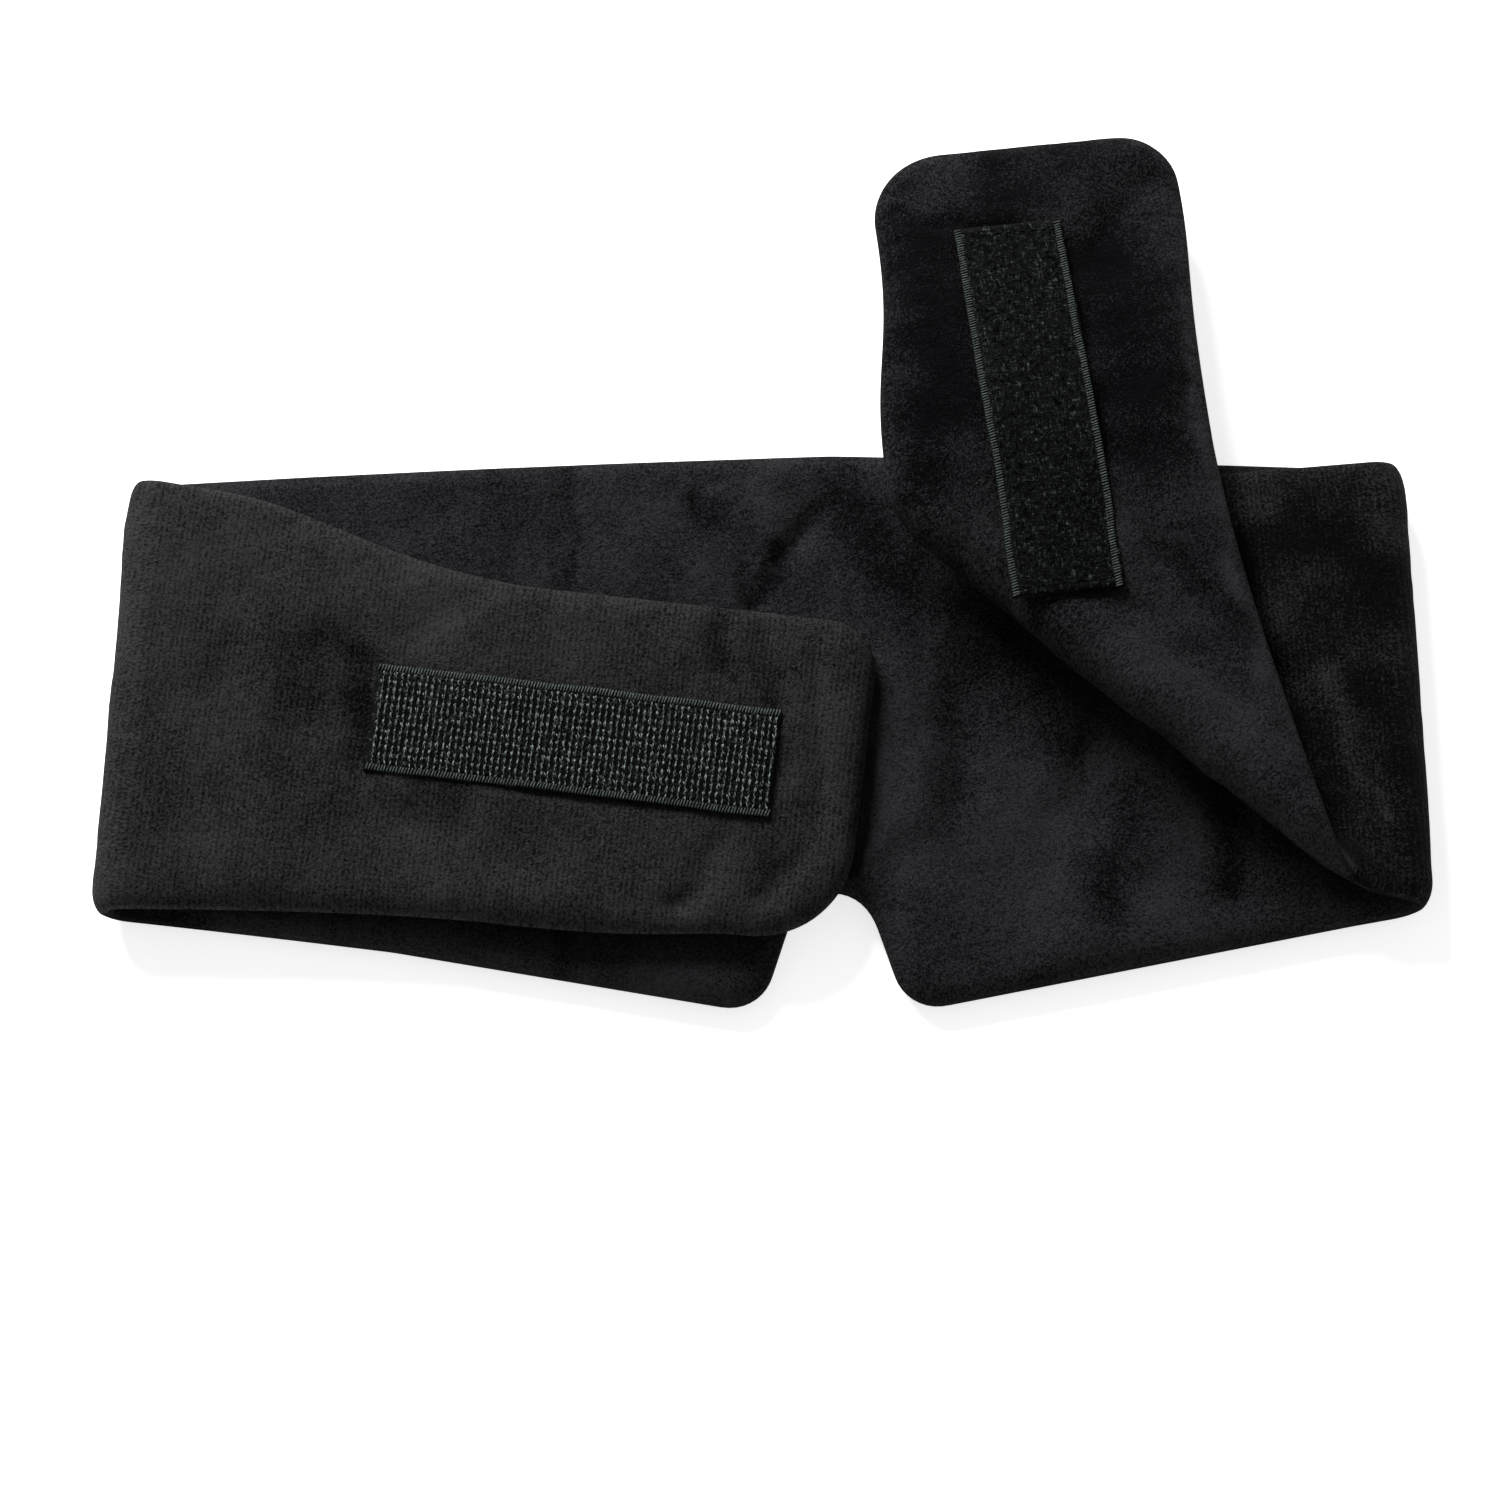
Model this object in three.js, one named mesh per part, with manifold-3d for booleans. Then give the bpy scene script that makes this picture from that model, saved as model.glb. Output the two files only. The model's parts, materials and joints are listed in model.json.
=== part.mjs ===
// A padded wraparound sleep mask with a hook-and-loop closure, lying lining side up with both straps
// folded in over it. It is one long bag of plush fabric: an outer shell, a face lining and a sheet of
// wadding between them. Millimetres, +X to the right along the band, +Y towards the forehead edge, +Z up.
//
// The band is drawn once as a flat pattern and then folded. Every fold is a rolled strip of padding,
// the spine, with a hinge line on each side of it, so the fabric keeps its length as a fold opens.
import * as THREE from 'three';
import { mergeVertices } from 'three/addons/utils/BufferGeometryUtils.js';
import Module from 'manifold-3d';

const wasm = await Module();
wasm.setup();

// ---- driving dimensions -------------------------------------------------------------------------
const THICKNESS = 8.4; // one padded layer, shell to lining
const MID = THICKNESS / 2; // height of the layer's middle, where the fold lines run
const SPINE = 9; // hinge line to hinge line, so folded layers lie 0.6 apart
const SKIN = 1; // shell or lining fabric with its pile
const GAP = 0.3; // clearance between separate pieces
const EDGE_ROUND = 2.6; // rounding of the padded edge

// The flat pattern, as x and y from the nose line outwards. Both halves are cut to one pattern, but the
// plush has stretched, so the right strap is longer and its end is turned a little downwards.
const NOSE_TOP = 53; // forehead edge on the nose line
const LOBE = { x: 23.8, y: -67.8, radius: 10 }; // rounded cheek corner beside the nose
const NOTCH = { x: 10.6, y: -60, top: -51.5 }; // nose notch between the lobes
const LEFT_HALF = {
  temple: { x: 186, top: 46.3 }, // where the forehead edge starts down towards the strap
  neck: { x: 257, top: 32.2, bottom: -47.1 }, // where the strap has its own width
  cheek: { x: 100, bottom: -63.9, lean: 7 }, // end of the straight cheek edge, and its rise in 50 mm
  tip: { x: 338, top: 32.6, bottom: -43, topRadius: 12, bottomRadius: 22 },
};
const RIGHT_HALF = {
  temple: { x: 192, top: 46.8 },
  neck: { x: 262, top: 38.6, bottom: -37 },
  cheek: { x: 118, bottom: -59.2, lean: 9 },
  tip: { x: 345, top: 31.6, bottom: -40.8, topRadius: 18, bottomRadius: 14 },
};
const LEFT_DROP = 0.8; // degrees by which the left half lies lower than the right

// Fold lines in the flat pattern: a point, the direction of the line in degrees, the side of the
// parent layer that it folds onto (1 lining, -1 shell), how far it is folded over at rest, and where
// the spine starts along the line. The tab's spine stops short of the right fold.
const LEFT_FOLD = { x: -160.2, y: -6, line: 86.9, onto: 1, turn: 180, start: -100 };
const RIGHT_FOLD = { x: 130.1, y: -6.6, line: 91.8, onto: 1, turn: 177, start: -100 };
const TAB_FOLD = { x: 199.5, y: -6.1, line: 43.1, onto: -1, turn: 180, start: -68 };

// The free end of the right strap hangs over the forehead edge, bent down in two soft creases.
const CREASES = [262, 282];
const CREASE_ANGLE = 5;

const TAPE = { length: 92, width: 25, thick: 0.9 }; // both closure tapes
const HOOKS_AT = { x: 272, y: -3.9 }; // middle of the hook tape
const LOOPS_AT = { x: 275.5, y: 2 }; // middle of the loop tape
const STITCH = { inset: 1.5, width: 0.6, thick: 0.4 }; // thread around each tape
const FIELD = { inset: 2.8, hooks: 1.2, loops: 1.6 }; // hook or pile area, and its height
const SEAM = { x: -61, lean: 2, gap: 1.2, thread: 0.5 }; // join between the two lining panels

const FAR = 1600; // longer than any cut has to reach
const COLOURS = {
  shell: [0x17181b, 0.95],
  lining: [0x1c1c20, 0.9],
  wadding: [0x8c8a86, 1],
  tape: [0x1d2220, 0.75],
  hooks: [0x262c2a, 0.45],
  loops: [0x101312, 0.95],
  thread: [0x0d0e0f, 0.6],
};

// ---- solids ------------------------------------------------------------------------------------
function toSolid(geometry) {
  const bare = geometry.clone();
  bare.deleteAttribute('normal');
  bare.deleteAttribute('uv');
  const merged = mergeVertices(bare, 1e-4);
  const vertProperties = new Float32Array(merged.attributes.position.array);
  const triVerts = new Uint32Array(merged.index.array);
  return new wasm.Manifold(new wasm.Mesh({ numProp: 3, vertProperties, triVerts }));
}

function toGeometry(solid) {
  const mesh = solid.getMesh();
  const geometry = new THREE.BufferGeometry();
  geometry.setAttribute('position', new THREE.BufferAttribute(new Float32Array(mesh.vertProperties), 3));
  geometry.setIndex(new THREE.BufferAttribute(new Uint32Array(mesh.triVerts), 1));
  geometry.computeVertexNormals();
  return geometry;
}

const common = (a, b) => toGeometry(toSolid(a).intersect(toSolid(b)));
const join = (a, b) => toGeometry(toSolid(a).add(toSolid(b)));

function cut(a, ...tools) {
  return toGeometry(tools.reduce((solid, tool) => solid.subtract(toSolid(tool)), toSolid(a)));
}

function box(xLow, xHigh, yLow, yHigh, zLow, zHigh) {
  const geometry = new THREE.BoxGeometry(xHigh - xLow, yHigh - yLow, zHigh - zLow);
  return geometry.translate((xLow + xHigh) / 2, (yLow + yHigh) / 2, (zLow + zHigh) / 2);
}

// ---- the flat pattern ----------------------------------------------------------------------------
function halfOutline({ temple, neck, cheek, tip }) {
  const { topRadius, bottomRadius } = tip;
  const path = new THREE.Path();
  path.moveTo(0, NOSE_TOP);
  path.quadraticCurveTo(100, NOSE_TOP - 1.7, temple.x, temple.top);
  path.bezierCurveTo(temple.x + 20, temple.top - 1.3, neck.x - 33, neck.top + 1.3, neck.x, neck.top);
  path.bezierCurveTo(neck.x + 28, neck.top, tip.x - 50, tip.top, tip.x - topRadius, tip.top);
  path.absarc(tip.x - topRadius, tip.top - topRadius, topRadius, Math.PI / 2, 0, true);
  path.absarc(tip.x - bottomRadius, tip.bottom + bottomRadius, bottomRadius, 0, -Math.PI / 2, true);
  path.bezierCurveTo(tip.x - 35, tip.bottom, neck.x + 40, neck.bottom, neck.x, neck.bottom);
  const towardsCheek = cheek.bottom + cheek.lean;
  path.bezierCurveTo(neck.x - 40, neck.bottom - 1, cheek.x + 50, towardsCheek, cheek.x, cheek.bottom);
  const wallAngle = THREE.MathUtils.degToRad(-158);
  path.absarc(LOBE.x, LOBE.y, LOBE.radius, THREE.MathUtils.degToRad(-80), wallAngle, true);
  path.lineTo(NOTCH.x, NOTCH.y);
  path.quadraticCurveTo(NOTCH.x - 3, NOTCH.top, 0, NOTCH.top);
  return path.getPoints(5);
}

// The left half is drawn as a right one, mirrored, and turned about the middle by LEFT_DROP.
function bandOutline() {
  const right = halfOutline(RIGHT_HALF);
  const drop = THREE.MathUtils.degToRad(LEFT_DROP);
  const centre = new THREE.Vector2(0, 0);
  const mirrored = halfOutline(LEFT_HALF).slice(1, -1);
  const left = mirrored.map((p) => new THREE.Vector2(-p.x, p.y).rotateAround(centre, drop));
  return [...right, ...left.reverse()];
}

// Moves an outline that runs clockwise inwards by a small distance.
function insetOutline(points, distance) {
  return points.map((p, i) => {
    const before = points[(i + points.length - 1) % points.length];
    const after = points[(i + 1) % points.length];
    const a = p.clone().sub(before).normalize();
    const b = after.clone().sub(p).normalize();
    const inward = new THREE.Vector2(a.y + b.y, -a.x - b.x).normalize();
    const stretch = 1 / Math.sqrt((1 + a.dot(b)) / 2);
    return p.clone().addScaledVector(inward, distance * stretch);
  });
}

// The padded layer, or what is left of it when every face moves in by the inset.
function paddedSlab(inset) {
  const round = EDGE_ROUND - inset / 2;
  const shape = new THREE.Shape(insetOutline(bandOutline(), inset));
  const geometry = new THREE.ExtrudeGeometry(shape, {
    depth: THICKNESS - 2 * inset - 2 * round,
    bevelThickness: round,
    bevelSize: round,
    bevelOffset: -round,
    bevelSegments: 2,
  });
  return geometry.translate(0, 0, inset + round);
}

const lowerHalf = box(-FAR, FAR, -FAR, FAR, -1, MID - GAP / 2);
const upperHalf = box(-FAR, FAR, -FAR, FAR, MID + GAP / 2, THICKNESS + 1);
const skin = cut(paddedSlab(0), paddedSlab(SKIN));
const band = {
  shell: common(skin, lowerHalf),
  lining: common(skin, upperHalf),
  wadding: paddedSlab(SKIN + GAP),
};

// ---- fold lines ----------------------------------------------------------------------------------
// Outward points away from the nose, towards the strap's free end, and along is the hinge line.
function foldFrame(fold) {
  const angle = THREE.MathUtils.degToRad(fold.line);
  const along = new THREE.Vector3(Math.cos(angle), Math.sin(angle), 0);
  const outward = new THREE.Vector3(along.y, -along.x, 0);
  if (outward.x * fold.x < 0) outward.negate();
  return { along, outward };
}

// A profile across the fold line, x outward from the inner hinge line and y towards the side that
// the fold closes onto, run along the line from the given start.
function alongFold(fold, profile, start) {
  const { along, outward } = foldFrame(fold);
  const up = new THREE.Vector3(0, 0, fold.onto);
  const run = new THREE.Vector3().crossVectors(outward, up);
  const place = new THREE.Matrix4().makeBasis(outward, up, run).setPosition(fold.x, fold.y, MID);
  const settings = { depth: FAR, bevelEnabled: false, curveSegments: 10 };
  const geometry = new THREE.ExtrudeGeometry(profile, settings);
  const first = run.dot(along) > 0 ? start : -start - FAR;
  return geometry.translate(0, 0, first).applyMatrix4(place);
}

// The spine: half-thickness round ends on the two hinge lines.
function spineRegion(fold) {
  const profile = new THREE.Shape();
  profile.absarc(SPINE, 0, MID, -Math.PI / 2, Math.PI / 2, false);
  profile.absarc(0, 0, MID, Math.PI / 2, Math.PI * 1.5, false);
  return alongFold(fold, profile, fold.start);
}

// What a layer loses at a hinge line, so that the spine can roll from flat to folded: a wall on the
// side that the fold closes onto and a hollow around the hinge on the other side. The layer nearer
// the nose loses it at the inner hinge line, and the one beyond loses the mirror image at the outer.
function knuckleCut(fold, nearNose) {
  const reach = MID + GAP;
  const hollow = new THREE.Path().absarc(0, 0, reach, Math.PI, Math.PI * 1.5, false).getPoints(8);
  const profile = [
    new THREE.Vector2(-reach, FAR / 4),
    ...hollow,
    new THREE.Vector2(0, -FAR / 4),
    new THREE.Vector2(FAR, -FAR / 4),
    new THREE.Vector2(FAR, FAR / 4),
  ];
  const placed = nearNose ? profile : profile.map((p) => new THREE.Vector2(SPINE - p.x, p.y));
  return alongFold(fold, new THREE.Shape(placed), -FAR / 2);
}

// Folds the groups: the spine turns half of the fold about the inner hinge line, and the layer beyond
// turns the other half about the outer one. Inside each group the pieces keep the flat band's places.
function hingeGroup(parent, x, y, axis, angle) {
  const pivot = new THREE.Group();
  pivot.position.set(x, y, MID);
  pivot.quaternion.setFromAxisAngle(axis, THREE.MathUtils.degToRad(angle));
  parent.add(pivot);
  const flat = new THREE.Group();
  flat.position.set(-x, -y, -MID);
  pivot.add(flat);
  return flat;
}

function foldOver(parent, fold) {
  const { outward } = foldFrame(fold);
  const axis = new THREE.Vector3().crossVectors(outward, new THREE.Vector3(0, 0, fold.onto));
  const outer = outward.clone().multiplyScalar(SPINE);
  const spine = hingeGroup(parent, fold.x, fold.y, axis, fold.turn / 2);
  const beyond = hingeGroup(spine, fold.x + outer.x, fold.y + outer.y, axis, fold.turn / 2);
  return { spine, beyond };
}

// ---- pieces ------------------------------------------------------------------------------------
function addMesh(group, name, geometry, finish) {
  const [color, roughness] = COLOURS[finish];
  const mesh = new THREE.Mesh(geometry, new THREE.MeshStandardMaterial({ color, roughness, metalness: 0 }));
  mesh.name = name;
  group.add(mesh);
}

// Bends what lies beyond each crease down by CREASE_ANGLE, as one solid.
function droop(geometry) {
  let bent = geometry;
  const overlap = THICKNESS * Math.tan(THREE.MathUtils.degToRad(CREASE_ANGLE / 2)) + 0.05;
  [...CREASES].reverse().forEach((x) => {
    const near = common(bent, box(-FAR, x + overlap, -FAR, FAR, -FAR, FAR));
    const beyond = common(bent, box(x - overlap, FAR, -FAR, FAR, -FAR, FAR));
    beyond.translate(-x, 0, -MID);
    beyond.rotateY(THREE.MathUtils.degToRad(CREASE_ANGLE));
    beyond.translate(x, 0, MID);
    bent = join(near, beyond);
  });
  return bent;
}

// The shell, lining and wadding of one stretch of the band, cut out of the flat layers.
function addLayers(group, prefix, trim) {
  ['shell', 'lining', 'wadding'].forEach((layer) => {
    addMesh(group, `${prefix}_${layer}`, trim(band[layer]), layer);
  });
}

// A closure tape sewn to one face: its woven base, its hooks or pile, and the thread around it.
// Side 1 is the lining face and -1 the shell face.
function addTape(group, names, side, finish, fieldHeight, place) {
  const { length, width, thick } = TAPE;
  const plate = (inset, low, high) => {
    const zs = [low, high].map((z) => MID + side * (MID + GAP + z)).sort((a, b) => a - b);
    return box(inset - length / 2, length / 2 - inset, inset - width / 2, width / 2 - inset, ...zs);
  };
  const threadLow = thick + GAP;
  const threadHigh = threadLow + STITCH.thick;
  const threadOuter = plate(STITCH.inset, threadLow, threadHigh);
  const threadInner = plate(STITCH.inset + STITCH.width, threadLow - 1, threadHigh + 1);
  addMesh(group, names.base, place(plate(0, 0, thick)), 'tape');
  addMesh(group, names.field, place(plate(FIELD.inset, threadLow, threadLow + fieldHeight)), finish);
  addMesh(group, names.thread, place(cut(threadOuter, threadInner)), 'thread');
}

// The face lining of the mask is two panels, joined by a seam beside the nose.
function addLiningPanels(group, lining) {
  const between = (from, to) => {
    const block = box(from, to, -FAR, FAR, -1, THICKNESS + 1);
    block.rotateZ(THREE.MathUtils.degToRad(SEAM.lean));
    return block.translate(SEAM.x, 0, 0);
  };
  const surface = box(-FAR, FAR, -FAR, FAR, THICKNESS - SKIN, THICKNESS - GAP);
  const groove = between(-SEAM.thread / 2, SEAM.thread / 2);
  addMesh(group, 'face_lining_left', common(lining, between(-FAR / 2, -SEAM.gap / 2)), 'lining');
  addMesh(group, 'face_lining_centre', common(lining, between(SEAM.gap / 2, FAR)), 'lining');
  addMesh(group, 'lining_seam_thread', common(common(lining, groove), surface), 'thread');
}

// ---- assembly ------------------------------------------------------------------------------------
const group = new THREE.Group();

const maskOnly = (solid) => cut(solid, knuckleCut(LEFT_FOLD, true), knuckleCut(RIGHT_FOLD, true));
addMesh(group, 'outer_shell', maskOnly(band.shell), 'shell');
addMesh(group, 'mask_wadding', maskOnly(band.wadding), 'wadding');
addLiningPanels(group, maskOnly(band.lining));

const left = foldOver(group, LEFT_FOLD);
addLayers(left.spine, 'left_fold', (solid) => common(solid, spineRegion(LEFT_FOLD)));
addLayers(left.beyond, 'left_strap', (solid) => cut(solid, knuckleCut(LEFT_FOLD, false)));

const right = foldOver(group, RIGHT_FOLD);
addLayers(right.spine, 'right_fold', (solid) => common(solid, spineRegion(RIGHT_FOLD)));
addLayers(right.beyond, 'right_strap', (solid) =>
  cut(solid, knuckleCut(RIGHT_FOLD, false), knuckleCut(TAB_FOLD, true)),
);

const tab = foldOver(right.beyond, TAB_FOLD);
addLayers(tab.spine, 'tab_fold', (solid) => common(solid, spineRegion(TAB_FOLD)));
addLayers(tab.beyond, 'right_tab', (solid) => droop(cut(solid, knuckleCut(TAB_FOLD, false))));

const onLeftStrap = (solid) => {
  solid.translate(-HOOKS_AT.x, HOOKS_AT.y, 0);
  return solid.rotateZ(THREE.MathUtils.degToRad(LEFT_DROP));
};
const onRightTab = (solid) => droop(solid.translate(LOOPS_AT.x, LOOPS_AT.y, 0));
const hookNames = { base: 'hook_tape', field: 'hook_field', thread: 'hook_tape_stitching' };
const loopNames = { base: 'loop_tape', field: 'loop_pile', thread: 'loop_tape_stitching' };
addTape(left.beyond, hookNames, -1, 'hooks', FIELD.hooks, onLeftStrap);
addTape(tab.beyond, loopNames, 1, 'loops', FIELD.loops, onRightTab);

export default group;
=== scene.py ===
"""A black plush sleep mask, lying lining side up with both straps folded in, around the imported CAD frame.

Lengths in the flat pattern are millimetres; world() turns them into the frame's metres at the end.
The band is drawn flat, padded like a pillow, and then rolled over at each fold line, as the real one is.
"""
import json
import math

import bpy
import numpy as np
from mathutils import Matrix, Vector, kdtree

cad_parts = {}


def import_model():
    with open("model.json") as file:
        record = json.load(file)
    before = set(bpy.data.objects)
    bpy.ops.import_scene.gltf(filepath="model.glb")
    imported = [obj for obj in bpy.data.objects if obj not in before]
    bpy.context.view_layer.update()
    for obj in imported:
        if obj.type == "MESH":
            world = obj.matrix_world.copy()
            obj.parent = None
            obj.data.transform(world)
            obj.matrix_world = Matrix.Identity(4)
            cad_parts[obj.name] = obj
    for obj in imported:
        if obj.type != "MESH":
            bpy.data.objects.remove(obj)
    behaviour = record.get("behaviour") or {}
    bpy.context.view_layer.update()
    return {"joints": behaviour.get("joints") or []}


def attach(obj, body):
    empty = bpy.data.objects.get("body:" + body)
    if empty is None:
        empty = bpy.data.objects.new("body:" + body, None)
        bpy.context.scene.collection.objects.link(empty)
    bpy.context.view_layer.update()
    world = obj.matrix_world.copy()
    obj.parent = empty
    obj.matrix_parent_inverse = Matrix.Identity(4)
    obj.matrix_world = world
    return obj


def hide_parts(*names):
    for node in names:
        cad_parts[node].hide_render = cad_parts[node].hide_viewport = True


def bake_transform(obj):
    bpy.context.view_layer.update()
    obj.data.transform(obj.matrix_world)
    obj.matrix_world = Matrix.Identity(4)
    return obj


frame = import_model()
MM = 0.001

# ---- driving dimensions, as the CAD model has them ------------------------------------------------
HALF = 4.2  # half of one padded layer
SPINE = 9.0  # hinge line to hinge line
NOSE_TOP = 53.0
LOBE, LOBE_RADIUS = (23.8, -67.8), 10.0
NOTCH, NOTCH_TOP = (10.6, -60.0), -51.5
# Each half: where the forehead edge starts down, where the strap has its own width (x, top, bottom),
# the end of the straight cheek edge with its rise in 50 mm, and the strap's end (x, top, bottom, radii).
LEFT_HALF = {
    "temple": (186, 46.3),
    "neck": (257, 32.2, -47.1),
    "cheek": (100, -63.9, 7),
    "tip": (338, 32.6, -43, 12, 22),
}
RIGHT_HALF = {
    "temple": (192, 46.8),
    "neck": (262, 38.6, -37),
    "cheek": (118, -59.2, 9),
    "tip": (345, 31.6, -40.8, 18, 14),
}
LEFT_DROP = math.radians(0.8)  # how far the left half turns down at the nose line
SEAM_X, SEAM_LEAN = -61.0, math.radians(2)  # the join between the two lining panels
DROOP_FROM, DROOP_TO, DROOP = 252.0, 292.0, math.radians(10)  # where the right strap's end bends down
TAB_LINE = {"x": 199.5, "y": -6.1, "degrees": 43.1}  # inner hinge line of the diagonal fold
RIGHT_TILT = math.radians(3)  # how far the folded right strap is propped up
TAPE_LENGTH, TAPE_WIDTH, TAPE_THICK = 92.0, 25.0, 0.9
HOOKS_AT = (272.0, -3.9)  # middle of the hook tape, measured outwards along the left half
LOOPS_AT = (275.5, 2.0)  # middle of the loop tape

# ---- the padding -----------------------------------------------------------------------------------
EDGE_ROUND = 8.5  # how far in from a sewn edge the layer reaches its full thickness
REACH = 4.4  # how far a fold's roll reaches past each hinge line
ROLL = SPINE / 2 + HALF  # radius of the roll's outer side
TUCK = 2.4  # how far the roll's inner side bulges
RIB_PITCH = 1.2  # between the knitted ribs of the shell's plush
ROWS = 78  # mesh rows across the band
STEP, FINE_STEP = 1.7, 0.75  # between mesh columns along the band, away from the folds and near them
FINE_REACH, FINE_EASE = 13, 8  # how far from a fold the columns stay fine, and over what length they widen
PART_AT = (142.5, -57), (232, 42)  # the right strap's skin is parted along this line
BLEND_REACH = 1.75  # half of the stretch over which the fabric turns at a hinge line

# ---- the tapes' own detail -------------------------------------------------------------------------
TAPE_SINK = 0.25  # how far a tape's underside goes into the plush
LOOP_TAPE_LIFT = 0.25  # keeps the stiff loop tape off the rounded padding
SELVEDGE_WANDER, SELVEDGE_WAVE = 0.28, 11  # how far a tape's long edges stray, and over what length
RIB_LENGTH, RIB_RADIUS = 1.5, 0.19
RIB_TOPS = 1.03  # only the selvedge ribs of a tape are higher than this
STITCH_INSET, STITCH_PITCH, STITCH_LENGTH, STITCH_RADIUS = 2.2, 2.9, 2.3, 0.17
HOOK_COLUMNS, HOOK_PITCH = 1.42, 0.95  # between the rows of hooks, and between hooks in a row
HOOK_STEM, HOOK_BEND, HOOK_RADIUS = 0.85, 0.42, 0.12
GROUND_PITCH, GROUND_RADIUS = 1.3, 0.11  # the wavy threads that the hooks stand in
LOOP_COUNT, LOOP_RADIUS = 5600, 0.06

# ---- the studio, in metres -------------------------------------------------------------------------
FLOOR_HALF = 4.0
LAMP_AT, LAMP_SIZE, LAMP_POWER = (-0.55, 1.0, 0.75), 0.7, 40
VIEW_PITCH = math.radians(74.5)  # how steeply the camera looks down
VIEW_DISTANCE, VIEW_TARGET = 1.1, (-0.01834, -0.01661, 0)
LENS, SENSOR = 115.1, 36  # millimetres


# ---- small numeric tools ---------------------------------------------------------------------------
def quadratic(a, b, c, n=24):
    t = np.linspace(0, 1, n)[:, None]
    a, b, c = map(np.array, (a, b, c))
    return (1 - t) ** 2 * a + 2 * t * (1 - t) * b + t * t * c


def cubic(a, b, c, d, n=24):
    t = np.linspace(0, 1, n)[:, None]
    a, b, c, d = map(np.array, (a, b, c, d))
    return (1 - t) ** 3 * a + 3 * t * (1 - t) ** 2 * b + 3 * t * t * (1 - t) * c + t**3 * d


def arc(centre, radius, start, end, n=16):
    angles = np.radians(np.linspace(start, end, n))
    return np.column_stack([centre[0] + radius * np.cos(angles), centre[1] + radius * np.sin(angles)])


def resample(points, fractions):
    """The points at the given fractions of a polyline's length."""
    lengths = np.concatenate([[0], np.cumsum(np.linalg.norm(np.diff(points, axis=0), axis=1))])
    at = np.asarray(fractions) * lengths[-1]
    return np.column_stack([np.interp(at, lengths, points[:, k]) for k in range(2)])


def turned(points, angle):
    """Flat points turned about the nose line's middle."""
    c, s = math.cos(angle), math.sin(angle)
    return points @ np.array([[c, s], [-s, c]])


def soft_noise(x, y, scale, seed):
    """Smooth noise from -1 to 1 with features about one scale across. The seed picks the pattern."""
    table = np.random.default_rng(seed).uniform(-1, 1, (256, 256))
    u, v = x / scale + 97.3, y / scale + 61.7
    i, j = np.floor(u).astype(int), np.floor(v).astype(int)
    a, b = u - i, v - j
    a, b = a**3 * (a * (a * 6 - 15) + 10), b**3 * (b * (b * 6 - 15) + 10)
    i0, i1, j0, j1 = i % 256, (i + 1) % 256, j % 256, (j + 1) % 256
    low = table[i0, j0] * (1 - a) + table[i1, j0] * a
    high = table[i0, j1] * (1 - a) + table[i1, j1] * a
    return low * (1 - b) + high * b


def stroke(x, y, start, end, width, height):
    """A soft ridge, or a valley where the height is negative, along a straight stretch."""
    a, b = np.array(start, float), np.array(end, float)
    d = b - a
    t = np.clip(((x - a[0]) * d[0] + (y - a[1]) * d[1]) / max(d @ d, 1e-9), 0, 1)
    away = (x - a[0] - t * d[0]) ** 2 + (y - a[1] - t * d[1]) ** 2
    return height * np.exp(-away / width**2)


# ---- the flat outline ------------------------------------------------------------------------------
def half_outline(temple, neck, cheek, tip):
    """One half of the pattern, from the forehead edge round the strap's end to the notch."""
    tx, ty = temple
    nx, top, bottom = neck
    cx, cheek_y, rise = cheek
    end, end_top, end_bottom, r, q = tip
    return np.vstack(
        [
            quadratic((0, NOSE_TOP), (100, NOSE_TOP - 1.7), temple),
            cubic(temple, (tx + 20, ty - 1.3), (nx - 33, top + 1.3), (nx, top))[1:],
            cubic((nx, top), (nx + 28, top), (end - 50, end_top), (end - r, end_top))[1:-1],
            arc((end - r, end_top - r), r, 90, 0),
            arc((end - q, end_bottom + q), q, 0, -90),
            cubic((end - q, end_bottom), (end - 35, end_bottom), (nx + 40, bottom), (nx, bottom))[1:-1],
            cubic((nx, bottom), (nx - 40, bottom - 1), (cx + 50, cheek_y + rise), (cx, cheek_y)),
            arc(LOBE, LOBE_RADIUS, -80, -158),
            quadratic(NOTCH, (NOTCH[0] - 3, NOTCH_TOP), (0, NOTCH_TOP)),
        ]
    )


def band_outline(step=0.5):
    """The whole outline, clockwise from the top of the nose line, evenly stepped and slightly eased."""
    right = half_outline(**RIGHT_HALF)
    left = turned(half_outline(**LEFT_HALF)[1:-1] * [-1, 1], LEFT_DROP)[::-1]
    loop = np.vstack([right, left, right[:1]])
    total = np.linalg.norm(np.diff(loop, axis=0), axis=1).sum()
    points = resample(loop, np.linspace(0, 1, int(total / step) + 1)[:-1])
    for _ in range(6):
        points = (np.roll(points, 1, 0) + 2 * points + np.roll(points, -1, 0)) / 4
    return points


OUTLINE = band_outline()
OUTLINE_STEP = np.linalg.norm(OUTLINE[1] - OUTLINE[0])
edge_tree = kdtree.KDTree(len(OUTLINE))
for index, point in enumerate(OUTLINE):
    edge_tree.insert((point[0], point[1], 0), index)
edge_tree.balance()


def edge_distance(points):
    """How far each flat point is from the sewn edge, and where along the edge its nearest point is."""
    nearest = np.array([edge_tree.find((p[0], p[1], 0))[1] for p in points])
    best = np.full(len(points), 1e9)
    for shift in (-1, 0):
        a = OUTLINE[(nearest + shift) % len(OUTLINE)]
        b = OUTLINE[(nearest + shift + 1) % len(OUTLINE)]
        d = b - a
        t = np.clip(((points - a) * d).sum(1) / (d * d).sum(1), 0, 1)[:, None]
        best = np.minimum(best, np.linalg.norm(points - a - t * d, axis=1))
    return best, nearest * OUTLINE_STEP


def nearest_index(point):
    return int(np.argmin(((OUTLINE - point) ** 2).sum(1)))


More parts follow.
